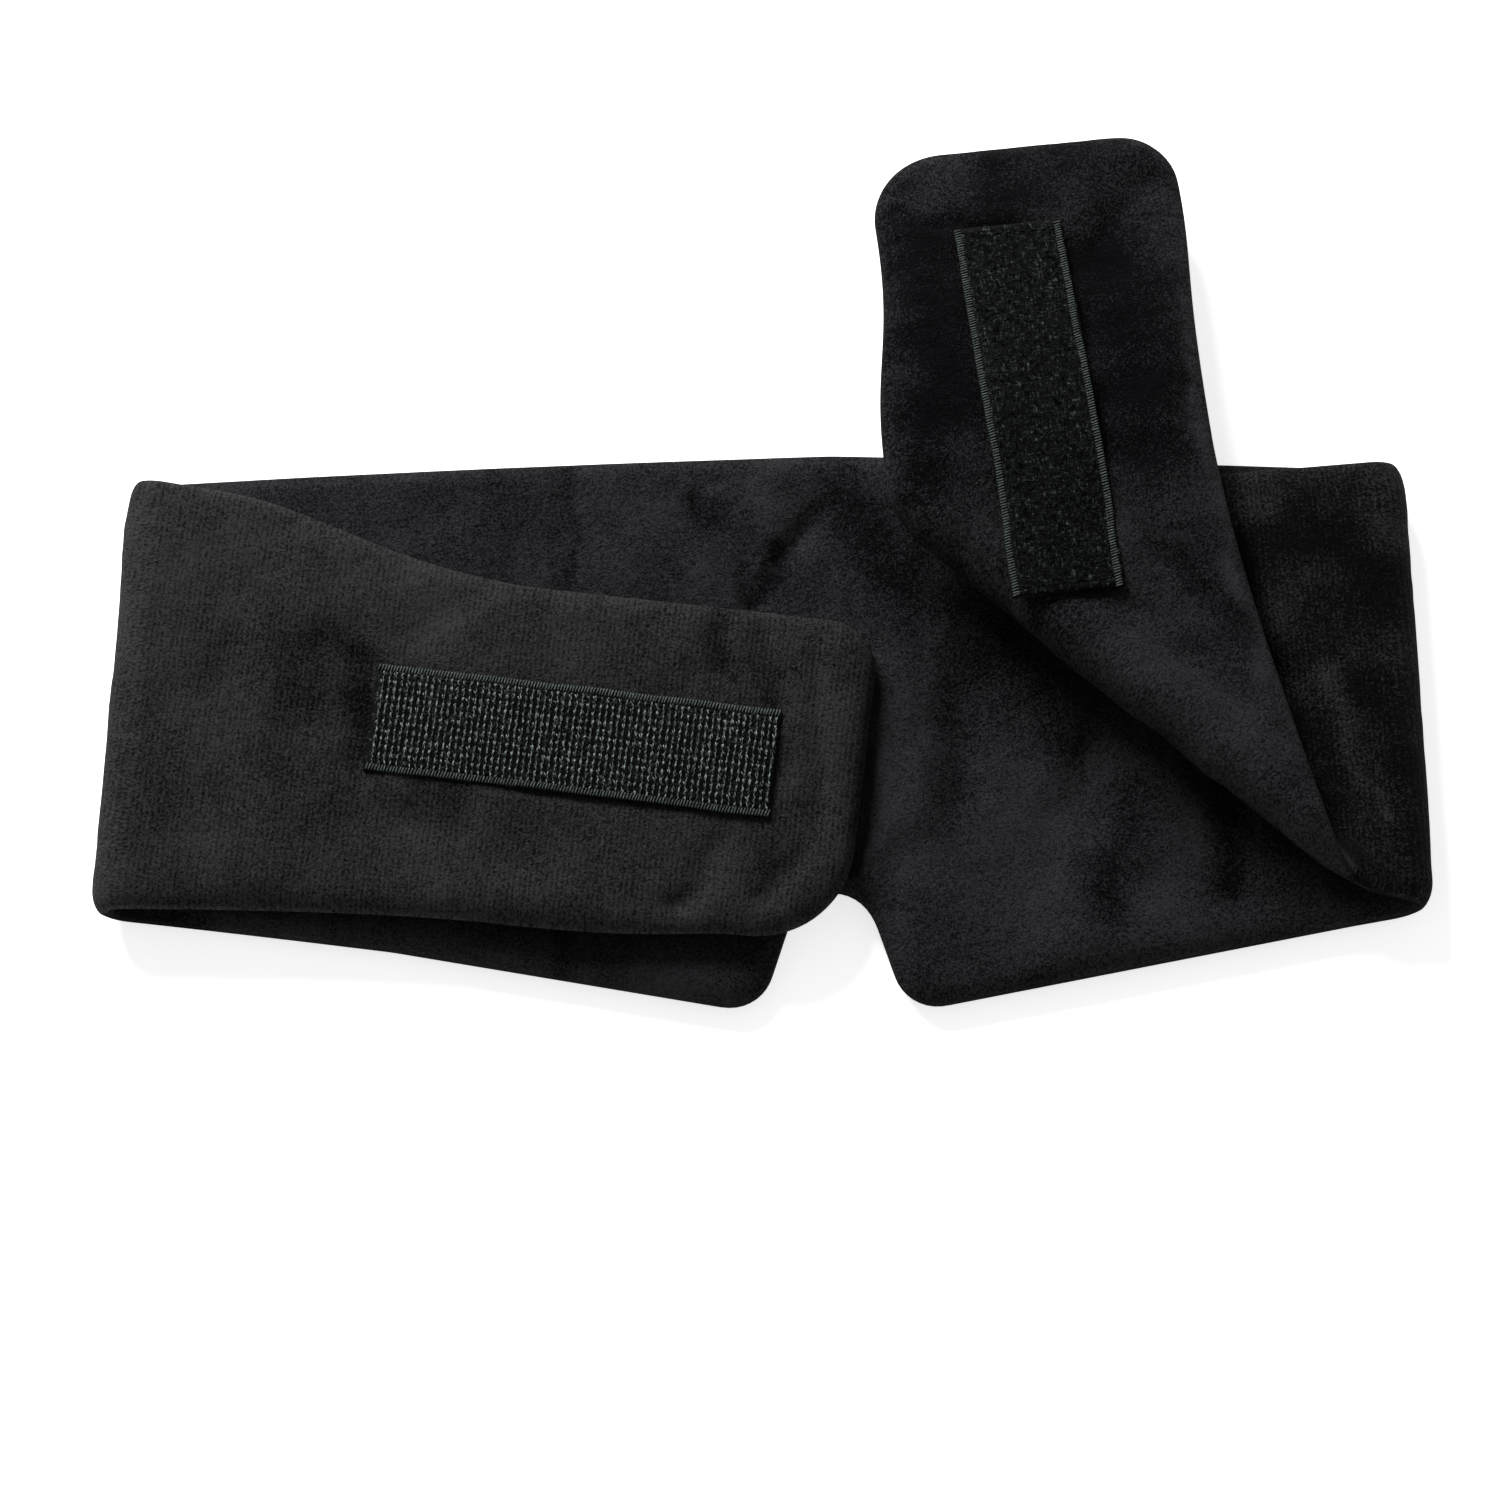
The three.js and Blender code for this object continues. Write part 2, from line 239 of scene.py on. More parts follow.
def crossings(point, direction):
    """Where a line across the band meets the lower and the upper edge, as outline indices."""
    d = np.array(direction, float)
    side = (OUTLINE - point) @ np.array([d[1], -d[0]])
    hits = np.nonzero(side * np.roll(side, -1) <= 0)[0]
    along = (OUTLINE[hits] - point) @ d
    return int(hits[along.argmin()]), int(hits[along.argmax()])


def edge_stretch(first, last):
    """The outline between two indices, the short way round."""
    n = len(OUTLINE)
    ahead = (last - first) % n
    if ahead <= n - ahead:
        return OUTLINE[(first + np.arange(ahead + 1)) % n]
    return OUTLINE[(first - np.arange(n - ahead + 1)) % n]


# ---- folding ---------------------------------------------------------------------------------------
class Fold:
    """A roll of padding over a straight hinge line.

    Onto is 1 where the fold closes onto the lining and -1 where it closes onto the shell. Tilt is how
    much of the half turn is left open.
    """

    def __init__(self, x, y, degrees, onto, tilt=0.0):
        angle = math.radians(degrees)
        self.point = np.array([x, y])
        self.along = np.array([math.cos(angle), math.sin(angle)])
        outward = np.array([self.along[1], -self.along[0]])
        self.outward = outward if outward[0] * x > 0 else -outward
        self.onto = onto
        self.tilt = tilt

    def middle(self):
        """A point on the roll's outermost line, in the flat pattern."""
        return self.point + self.outward * SPINE / 2

    def apply(self, p):
        """Rolls flat points over the fold. Heights are measured from the layer's middle."""
        rel = p[:, :2] - self.point
        n, along = rel @ self.outward, rel @ self.along
        share = np.clip((n + REACH) / (SPINE + 2 * REACH), 0, 1)
        phi = math.pi * share
        # The roll's outer and inner sides are arcs, with the straight rest of the band on either end.
        rest = np.minimum(n + REACH, 0) - np.maximum(n - SPINE - REACH, 0) - REACH
        outer_x, inner_x = rest + ROLL * np.sin(phi), rest + TUCK * np.sin(phi)
        outer_z = SPINE / 2 - ROLL * np.cos(phi)
        inner_z = SPINE / 2 - (SPINE / 2 - HALF) * np.cos(phi)
        # Omega is 1 on the outer side and -1 on the inner one.
        omega = -self.onto * p[:, 2] / HALF
        x = (outer_x + inner_x + omega * (outer_x - inner_x)) / 2
        z = (outer_z + inner_z + omega * (outer_z - inner_z)) / 2
        # The tilt takes a part of the turn back, about the roll's middle.
        cx, cz = SPINE / 2 * math.sin(self.tilt / 4), SPINE / 2 * math.cos(self.tilt / 4)
        c, s = np.cos(-self.tilt * share), np.sin(-self.tilt * share)
        x, z = cx + (x - cx) * c - (z - cz) * s, cz + (x - cx) * s + (z - cz) * c
        flat = self.point + np.outer(x, self.outward) + np.outer(along, self.along)
        return np.column_stack([flat, self.onto * z])

    def turned_over(self, p):
        """The same turn for a stiff piece that lies wholly on the folded side, without the roll."""
        rel = p[:, :2] - self.point
        n, along = rel @ self.outward, rel @ self.along
        flat = self.point + np.outer(SPINE - n, self.outward) + np.outer(along, self.along)
        return np.column_stack([flat, self.onto * SPINE - p[:, 2]])


def fold_of_joint(name, onto, tilt=0.0):
    """The fold whose inner hinge line is the joint's axis."""
    joint = next(j for j in frame["joints"] if j["name"] == name)
    x, y, _ = (value / MM for value in joint["pos_m"])
    ax, ay, _ = joint["axis"]
    return Fold(x, y, math.degrees(math.atan2(ay, ax)) % 180, onto, tilt)


LEFT = fold_of_joint("left_fold", 1)
RIGHT = fold_of_joint("right_fold", 1, RIGHT_TILT)
TAB = Fold(**TAB_LINE, onto=-1)


def droop(p):
    """Bends the free end of the right strap down, in one soft curve."""
    s = np.maximum(p[:, 0] - DROOP_FROM, 0)
    length = DROOP_TO - DROOP_FROM
    angle = DROOP * np.minimum(s / length, 1)
    beyond = np.maximum(s - length, 0)
    radius = length / DROOP
    x = np.where(s > 0, DROOP_FROM + radius * np.sin(angle) + beyond * np.cos(angle), p[:, 0])
    z = -radius * (1 - np.cos(angle)) - beyond * np.sin(angle)
    return np.column_stack([x + p[:, 2] * np.sin(angle), p[:, 1], z + p[:, 2] * np.cos(angle)])


def world(p):
    """Millimetres above the layer's middle to metres above the table."""
    return (p + [0, 0, HALF]) * MM


def left_side(p):
    return world(LEFT.apply(p))


def right_side(p):
    return world(RIGHT.apply(TAB.apply(droop(p))))


# ---- relief of the padded surfaces -----------------------------------------------------------------
# Each stroke: start, end, width and height. Ridges are positive. They were placed one by one.
LINING_STROKES = [
    ((-30, 42), (-18, 19), 2.4, -1.1),
    ((-24, 44), (-13, 24), 2.6, 1.1),
    ((-6, 40), (-16, 18), 2.8, -1.5),
    ((-13, 49), (-11, 38), 3.0, 1.0),
    ((-38, 46), (-33, 30), 3.0, -0.8),
    ((2, 44), (10, 16), 4.5, -1.6),
    ((4, 48), (13, 8), 6.0, 1.3),
    ((14, 6), (17, -30), 6.5, 1.4),
    ((31, 10), (30, -28), 4.0, -1.8),
    ((8, -22), (6, -46), 3.0, -1.6),
    ((14, -24), (9, -48), 3.4, 1.0),
    ((30, 2), (52, -14), 8.0, 0.9),
    ((64, 0), (56, -32), 6.5, -1.8),
    ((76, -4), (74, -40), 7.0, 1.3),
    ((88, -18), (92, -52), 5.0, -1.2),
    ((100, -34), (112, -52), 3.6, 1.0),
    ((108, -34), (121, -54), 3.0, -1.2),
    ((40, -44), (70, -52), 9.0, -0.6),
    ((-61, 46), (-61, 40), 3.0, -1.0),
    ((-110, 44), (-70, 34), 9.0, -0.8),
]
LEFT_STROKES = [
    ((-221, 3), (-223, -16), 4.5, -1.9),
    ((-212, 6), (-206, -20), 7.0, -0.9),
    ((-298, 30), (-304, 13), 2.6, -1.8),
    ((-303, 30), (-309, 15), 2.4, 0.7),
    ((-310, 23), (-317, 6), 2.8, -1.4),
    ((-290, 25), (-294, 14), 3.0, 0.6),
    ((-325, 24), (-328, -24), 1.6, -0.7),
    ((-300, -44), (-306, -30), 4.0, -1.1),
    ((-318, -40), (-326, -28), 3.0, -0.9),
    ((-262, -40), (-240, -30), 6.0, -0.7),
    ((-196, 36), (-186, -8), 9.0, -0.8),
    ((-204, 30), (-204, -46), 8.0, 0.6),
    ((-246, 26), (-232, 14), 6.0, -0.7),
]
TAB_STROKES = [
    ((318, -17), (262, -14), 6.0, -1.4),
    ((300, -28), (268, -26), 6.0, 0.9),
    ((242, -8), (222, -34), 5.0, 1.1),
    ((236, -20), (216, -40), 3.2, -1.2),
    ((226, -12), (198, -34), 5.0, -0.9),
    ((218, -2), (190, -26), 6.5, 0.9),
    ((322, 18), (321, 2), 2.4, -1.0),
    ((262, 30), (236, 16), 6.0, -0.7),
    ((330, -30), (318, -22), 4.0, -0.8),
]
RIGHT_STROKES = [
    ((172, -2), (157, -40), 3.2, 1.0),
    ((166, 0), (151, -38), 3.0, -0.9),
    ((186, 20), (170, -4), 6.0, -0.7),
    ((176, 31), (161, -40), 2.6, -0.8),
]

# Where each piece's colour is made lighter (1) or darker (-1), as strokes with a width: partly the pile's
# own brushed tone, mostly painted shade in creases, valleys and under the straps' edges, and painted
# highlight on ridges and along edges.
NAP_SHADE_AND_HIGHLIGHT = {
    "mask": [
        ((-30, 40), (-18, 19), 3.0, -0.5),
        ((-6, 40), (-16, 18), 2.8, -0.65),
        ((-20, 47), (-9, 30), 3.5, 0.5),
        # Painted shadow below the tab's lower-left corner.
        ((4, 46), (15, 14), 8.0, -0.9),
        ((31, 8), (30, -30), 6.0, -0.7),
        ((40, 6), (50, -12), 8.0, -0.6),
        ((69, -26), (62, -54), 4.5, -0.7),
        # Painted shadow beneath the diagonal fold's edge.
        ((94, -28), (88, -50), 5.0, -0.6),
        ((112, -40), (116, -50), 4.0, -0.7),
        ((9, -20), (14, -44), 5.0, 0.5),
        ((51, -26), (47, -60), 6.5, 0.5),
        ((82, -34), (76, -56), 4.5, 0.5),
        ((-61, 50), (-61, -70), 1.4, -0.8),
        ((-130, -62), (-30, -74), 9.0, 0.45),
        # Painted shadow under the left strap's lower edge.
        ((-157, -56), (-142, -59), 3.0, -1.0),
    ],
    "left_strap": [
        ((-221, 3), (-224, -18), 4.0, -0.75),
        ((-214, 6), (-210, -20), 9.0, -0.35),
        ((-170, 40), (-172, -50), 10.0, 0.25),
        ((-190, 32), (-240, 22), 7.0, 0.35),
        ((-190, -40), (-230, -36), 10.0, 0.2),
        ((-272, -24), (-240, -22), 6.0, -0.3),
        ((-322, -18), (-318, -34), 5.0, -0.4),
        ((-299, 29), (-306, 12), 2.6, -0.7),
        ((-310, 22), (-316, 6), 2.6, -0.5),
    ],
    "right_tab": [
        ((340, 0), (270, 4), 36.0, -0.95),
        ((320, 22), (262, 30), 9.0, -0.6),
        ((318, -19), (262, -17), 9.0, -0.8),
        ((300, -30), (262, -30), 6.0, -0.25),
        ((240, -2), (222, -26), 5.0, 0.55),
        ((236, -20), (214, -38), 3.4, -0.5),
        ((212, -10), (196, -34), 5.0, 0.4),
        # Painted highlight along the tab's sewn edge.
        ((296, -35), (205, -39), 2.2, 0.8),
    ],
    "right_strap": [
        ((150, 40), (140, -50), 30.0, -1.3),
        ((176, 31), (161, -40), 2.6, -0.8),
        ((158, -2), (148, -38), 2.4, 0.9),
    ],
}


def wandering(x, y, table):
    """The strokes of a table, bent and broken up a little, as creases in soft fabric are."""
    shift_x = 2.6 * soft_noise(x, y, 13, 77) + 0.9 * soft_noise(x, y, 5, 79)
    shift_y = 2.6 * soft_noise(x, y, 13, 78) + 0.9 * soft_noise(x, y, 5, 80)
    strength = 1 + 0.5 * soft_noise(x, y, 9, 81)
    return strength * sum(stroke(x + shift_x, y + shift_y, *row) for row in table)


def strokes(x, y, table):
    """A piece's creases and ridges, which stand half as high again as their table says."""
    return 1.5 * wandering(x, y, table)


def nap_shade_and_highlight_tone(piece, x, y):
    """How much lighter or darker the colour is, from about -1 to 1: random tone of the brushed pile, with
    painted shade in creases and under edges and painted highlight on ridges.
    """
    table = NAP_SHADE_AND_HIGHLIGHT["mask" if piece.startswith("mask") else piece.replace("turn", "strap")]
    chance = 0.19 * soft_noise(x, y, 17, 401) + 0.13 * soft_noise(x, y, 7, 402)
    return wandering(x, y, table) + chance


def waves(x, y, seed):
    """The soft unevenness of plush over wadding."""
    broad = 0.62 * soft_noise(x, y, 22, seed)
    middle = 0.34 * soft_noise(x, y, 9.5, seed + 1)
    return broad + middle + 0.12 * soft_noise(x, y, 3.6, seed + 2)


def puckers(e, along, seed):
    """Small gathers that the seam's thread pulls in along a sewn edge."""
    fan = soft_noise(along, e * 0.35, 3.1, seed) + 0.6 * soft_noise(along, e * 0.3, 7.0, seed + 5)
    return 0.34 * fan * np.exp(-(((e - 3.2) / 3.4) ** 2))


def panel_seam(x, y):
    """The pulled-in join between the two lining panels."""
    across = (x - SEAM_X) * math.cos(SEAM_LEAN) + y * math.sin(SEAM_LEAN)
    pull = 0.35 * soft_noise(y, across * 0.4, 4.2, 71) * np.exp(-((across / 5) ** 2))
    return pull - 1.25 * np.exp(-np.abs(across / 1.5) ** 1.4) - 0.5 * np.exp(-((across / 5.5) ** 2))


def tape_bed(x, y, centre_x, centre_y):
    """The tape's own pressure on the padding, and the small rise around it."""
    u = np.abs(x - centre_x) - TAPE_LENGTH / 2
    v = np.abs(y - centre_y) - TAPE_WIDTH / 2
    away = np.maximum(u, v)
    inside = 1 / (1 + np.exp(away / 0.8))
    return -0.55 * inside + 0.15 * np.exp(-(((away - 4) / 3) ** 2))


def open_floor(x, y):
    """1 where the face lining shows between the straps, 0 where a strap lies on it."""
    clear_left = 1 / (1 + np.exp(-(x - 6) / 3)) * (y < 60)
    above_strap = 1 / (1 + np.exp(-(y - 22 + 0.12 * x) / 3)) * (x > -70)
    under_tab = 1 / (1 + np.exp(-(62 - x * 0.92 - y * 1.1 + 4) / 5))
    return np.clip(np.maximum(clear_left, above_strap) * under_tab, 0, 1)


def pressed(relief):
    """The relief of a side that lies against another layer."""
    return np.minimum(0.6 * relief - 0.2, 0.2)


def mask_relief(x, y, lining, shell):
    lining = lining + strokes(x, y, LINING_STROKES)
    lining = np.minimum(lining, 0.25 + 1.6 * open_floor(x, y)) + panel_seam(x, y)
    return lining, 0.4 * shell - 0.2


def left_strap_relief(x, y, lining, shell):
    shell = shell + strokes(x, y, LEFT_STROKES)
    bed = turned(np.column_stack([x, y]), -LEFT_DROP)
    shell = np.minimum(shell, 0.9) + tape_bed(bed[:, 0], bed[:, 1], -HOOKS_AT[0], HOOKS_AT[1])
    return pressed(lining), shell


def right_strap_relief(x, y, lining, shell):
    return pressed(lining), np.minimum(shell + strokes(x, y, RIGHT_STROKES), 0.3)


def tab_relief(x, y, lining, shell):
    lining = lining + strokes(x, y, TAB_STROKES)
    lining = np.minimum(lining, 1.0) + tape_bed(x, y, *LOOPS_AT)
    return lining, pressed(shell)


RELIEF = {
    "mask_left": mask_relief,
    "mask_right": mask_relief,
    "left_strap": left_strap_relief,
    "right_strap": right_strap_relief,
    "right_turn": right_strap_relief,
    "right_tab": tab_relief,
}
GATHERS = {"right_tab": 1.9}  # the seam is drawn in harder round the strap's loose end


def heights(piece, x, y, e, along):
    """Half thickness on the lining side and on the shell side, in millimetres, e in from the edge."""
    profile = (1 - (1 - np.minimum(e / EDGE_ROUND, 1)) ** 2.4) ** 0.5
    deep = np.minimum(e / 6.0, 1)
    lining, shell = RELIEF[piece](x, y, waves(x, y, 11), waves(x, y, 37))
    rim = -0.15 * np.exp(-(((e - 2.0) / 0.75) ** 2))
    gathers = GATHERS.get(piece, 1) * puckers(e, along, 3)
    lining = HALF * profile + (lining + gathers) * deep + rim
    shell = HALF * profile + shell * deep + puckers(e, along, 23) * deep
    return np.maximum(lining, 0.05), np.maximum(shell, 0.05)


# ---- mesh making -----------------------------------------------------------------------------------
def make_object(name, points, faces, material):
    mesh = bpy.data.meshes.new(name)
    mesh.from_pydata(np.asarray(points).tolist(), [], faces)
    mesh.validate()
    mesh.materials.append(material)
    mesh.shade_smooth()
    obj = bpy.data.objects.new(name, mesh)
    bpy.context.scene.collection.objects.link(obj)
    return obj


def set_flat_coordinates(obj, flat):
    """Keeps each vertex's place in the flat pattern, in metres, for the fabric's own patterns."""
    attribute = obj.data.attributes.new("flat", "FLOAT_VECTOR", "POINT")
    attribute.data.foreach_set("vector", np.asarray(flat, np.float32).ravel() * MM)


def graded(length, fine_start, fine_end):
    """Column positions from 0 to 1, closer together near a fold."""
    at, out = 0.0, [0.0]
    while at < length:
        near = min(at if fine_start else 1e9, length - at if fine_end else 1e9)
        at += FINE_STEP + (STEP - FINE_STEP) * min(max((near - FINE_REACH) / FINE_EASE, 0), 1)
        out.append(at)
    return np.array(out) / out[-1]


def across_rows():
    """Row positions from 0 to 1, closer together at both sewn edges."""
    u = np.linspace(0, 1, ROWS)
    return 0.3 * u + 0.7 * (0.5 - 0.5 * np.cos(math.pi * u))


def coons(lower, upper, start, end, s, t):
    """A grid of points inside four edge curves, sampled at s along and t across."""
    s, t = s[:, None, None], t[None, :, None]
    ruled = (1 - t) * lower[:, None] + t * upper[:, None]
    crossed = (1 - s) * start[None] + s * end[None]
    corners = (1 - s) * ((1 - t) * lower[0] + t * upper[0]) + s * ((1 - t) * lower[-1] + t * upper[-1])
    return ruled + crossed - corners


def fold_line(fold):
    return crossings(fold.middle(), fold.along)


def corner_pair(sign):
    """The middles of the two rounded corners at a strap's end."""
    end, top, bottom, _, _ = (LEFT_HALF if sign < 0 else RIGHT_HALF)["tip"]
    pair = np.array([(end, bottom), (end, top)])
    if sign < 0:
        pair = turned(pair * [-1, 1], LEFT_DROP)
    return nearest_index(pair[0]), nearest_index(pair[1])


# The lines that part the pieces, each as the outline indices of its lower and upper end.
SIDES = {
    "left_end": corner_pair(-1),
    "left_mid": fold_line(LEFT),
    "seam": crossings((SEAM_X, 0), (-math.sin(SEAM_LEAN), math.cos(SEAM_LEAN))),
    "right_mid": fold_line(RIGHT),
    "split": tuple(nearest_index(point) for point in PART_AT),
    "tab_mid": fold_line(TAB),
    "right_end": corner_pair(1),
}
ROUND_SIDES = ("left_end", "right_end")
FOLD_SIDES = ("left_mid", "right_mid", "tab_mid")
# piece: start side, end side, how it is folded
PATCHES = {
    "left_strap": ("left_end", "left_mid", left_side),
    "mask_left": ("left_mid", "seam", left_side),
    "mask_right": ("seam", "right_mid", right_side),
    "right_strap": ("right_mid", "split", right_side),
    "right_turn": ("split", "tab_mid", right_side),
    "right_tab": ("tab_mid", "right_end", right_side),
}


def side_curve(name, t):
    """Points across the band at one of those lines. At a strap's end they follow the outline."""
    low, high = SIDES[name]
    if name in ROUND_SIDES:
        return resample(edge_stretch(low, high), t)
    return OUTLINE[low] + np.outer(t, OUTLINE[high] - OUTLINE[low])


def patch_grids(name):
    """Flat points, and the folded lining and shell grids of one piece."""
    start, end, fold = PATCHES[name]
    t = across_rows()
    lower = edge_stretch(SIDES[start][0], SIDES[end][0])
    upper = edge_stretch(SIDES[start][1], SIDES[end][1])
    length = max(np.linalg.norm(np.diff(c, axis=0), axis=1).sum() for c in (lower, upper))
    s = graded(length, start in FOLD_SIDES, end in FOLD_SIDES)
    flat = coons(resample(lower, s), resample(upper, s), side_curve(start, t), side_curve(end, t), s, t)
    points = flat.reshape(-1, 2)
    e, along = edge_distance(points)
    up, down = heights(name, points[:, 0], points[:, 1], e, along)
    border = np.zeros(flat.shape[:2], bool)
    border[:, [0, -1]] = True
    border[0] |= start in ROUND_SIDES
    border[-1] |= end in ROUND_SIDES
    up[border.ravel()] = 0
    down[border.ravel()] = 0
    lining = fold(np.column_stack([points, up])).reshape(*flat.shape[:2], 3)
    shell = fold(np.column_stack([points, -down])).reshape(*flat.shape[:2], 3)
    # Colour tone per vertex: the pile's brushed tone, with painted shade in creases and under edges and
    # painted highlight on ridges.
    nap_shade_and_highlight = nap_shade_and_highlight_tone(name, points[:, 0], points[:, 1]).reshape(flat.shape[:2])
    return {"flat": flat, "lining": lining, "shell": shell, "border": border, "nap_shade_and_highlight": nap_shade_and_highlight}


def grid_normals(grid, flip):
    """Area-weighted vertex normals of a grid, not yet of length one."""
    d1 = grid[1:, 1:] - grid[:-1, :-1]
    d2 = grid[:-1, 1:] - grid[1:, :-1]
    face = np.cross(d1, d2) * (-1 if flip else 1)
    total = np.zeros_like(grid)
    for i in (slice(None, -1), slice(1, None)):
        for j in (slice(None, -1), slice(1, None)):
            total[i, j] += face
    return total


def shared_normals(grids):
    """Normals that agree where two pieces meet, so that the join doesn't show."""
    for g in grids.values():
        g["n_lining"] = grid_normals(g["lining"], False)
        g["n_shell"] = grid_normals(g["shell"], True)
    for a, (_, end, _) in PATCHES.items():
        for b, (start, _, _) in PATCHES.items():
            if start != end:
                continue
            for key in ("n_lining", "n_shell"):
                both = grids[a][key][-1] + grids[b][key][0]
                grids[a][key][-1] = both
                grids[b][key][0] = both
    for g in grids.values():
        edge = g["border"]
        both = g["n_lining"][edge] + g["n_shell"][edge]
        g["n_lining"][edge] = both
        g["n_shell"][edge] = both


def grid_quads(index, flip):
    """The faces of a grid of vertex indices."""
    a, b, c, d = index[:-1, :-1], index[1:, :-1], index[1:, 1:], index[:-1, 1:]
    order = (a, d, c, b) if flip else (a, b, c, d)
    return np.stack([k.ravel() for k in order], 1).tolist()


def cap_faces(shell_row, lining_row, flip):
    """The faces that close a piece where it meets its neighbour."""
    faces = []
    for j in range(len(shell_row) - 1):
        ring = [shell_row[j], shell_row[j + 1], lining_row[j + 1], lining_row[j]]
        ring = [int(k) for k in dict.fromkeys(ring)]
        faces.append(ring[::-1] if flip else ring)
    return faces


def build_skin(name, g):
    """One closed padded piece: lining above, shell below, welded along its sewn edges."""
    count, free = g["border"].size, ~g["border"]
    shell_index = np.arange(count).reshape(g["border"].shape)
    lining_index = shell_index.copy()
    lining_index[free] = count + np.arange(free.sum())
    points = np.vstack([g["shell"].reshape(-1, 3), g["lining"][free]])
    normals = np.vstack([g["n_shell"].reshape(-1, 3), g["n_lining"][free]])
    normals /= np.maximum(np.linalg.norm(normals, axis=1), 1e-12)[:, None]
    flat = np.vstack([g["flat"].reshape(-1, 2), g["flat"][free]])
    side = np.concatenate([np.full(count, -HALF), np.full(free.sum(), HALF)])
    nap_shade_and_highlight = np.concatenate([g["nap_shade_and_highlight"].ravel(), g["nap_shade_and_highlight"][free]])

    lining_faces, shell_faces = grid_quads(lining_index, False), grid_quads(shell_index, True)
    caps = []
    for row, flip in ((0, True), (-1, False)):
        if not g["border"][row].all():
            caps += cap_faces(shell_index[row], lining_index[row], flip)
    obj = make_object(name, points, lining_faces + shell_faces + caps, LINING)
    obj.data.materials.append(SHELL)
    material = np.zeros(len(obj.data.polygons), np.int32)
    material[len(lining_faces) : len(lining_faces) + len(shell_faces)] = 1
    obj.data.polygons.foreach_set("material_index", material)
    set_flat_coordinates(obj, np.column_stack([flat, side]))
    # Stores the painted shade and highlight, with the pile's brushed tone, for the plush material.
    obj.data.attributes.new("nap_shade_and_highlight", "FLOAT", "POINT").data.foreach_set("value", nap_shade_and_highlight.astype(np.float32))
    obj.data.normals_split_custom_set_from_vertices(normals.tolist())
    return obj


# ---- materials -------------------------------------------------------------------------------------
class Nodes:
    """A short way to write a node tree."""

    def __init__(self, name):
        self.material = bpy.data.materials.new(name)
        self.material.use_nodes = True
        self.tree = self.material.node_tree
        self.bsdf = self.tree.nodes["Principled BSDF"]

    def add(self, kind, **values):
        node = self.tree.nodes.new(kind)
        for key, value in values.items():
            if hasattr(node, key) and key not in node.inputs:
                setattr(node, key, value)
            else:
                node.inputs[key].default_value = value
        return node

    def link(self, output, target):
        self.tree.links.new(output, target)

    def math(self, operation, a, b):
        node = self.add("ShaderNodeMath", operation=operation)
        for socket, value in zip(node.inputs, (a, b)):
            if isinstance(value, (int, float)):
                socket.default_value = value
            else:
                self.link(value, socket)
        return node.outputs[0]

    def noise(self, vector, scale, detail=2.0, roughness=0.5):
        node = self.add("ShaderNodeTexNoise")
        node.inputs["Scale"].default_value = scale
        node.inputs["Detail"].default_value = detail
        node.inputs["Roughness"].default_value = roughness
        self.link(vector, node.inputs["Vector"])
        return node.outputs[0]

    def stretched(self, vector, scale):
        node = self.add("ShaderNodeMapping")
        node.inputs["Scale"].default_value = scale
        self.link(vector, node.inputs["Vector"])
        return node.outputs[0]

    def ramp(self, value, stops):
        node = self.add("ShaderNodeValToRGB")
        while len(node.color_ramp.elements) < len(stops):
            node.color_ramp.elements.new(0.5)
        for element, (position, colour) in zip(node.color_ramp.elements, stops):
            element.position = position
            element.color = (*colour, 1)
        self.link(value, node.inputs[0])
        return node.outputs[0]

    def bump(self, height, distance, strength=1.0, normal=None):
        node = self.add("ShaderNodeBump")
        node.inputs["Distance"].default_value = distance
        node.inputs["Strength"].default_value = strength
        self.link(height, node.inputs["Height"])
        if normal is not None:
            self.link(normal, node.inputs["Normal"])
        return node.outputs[0]


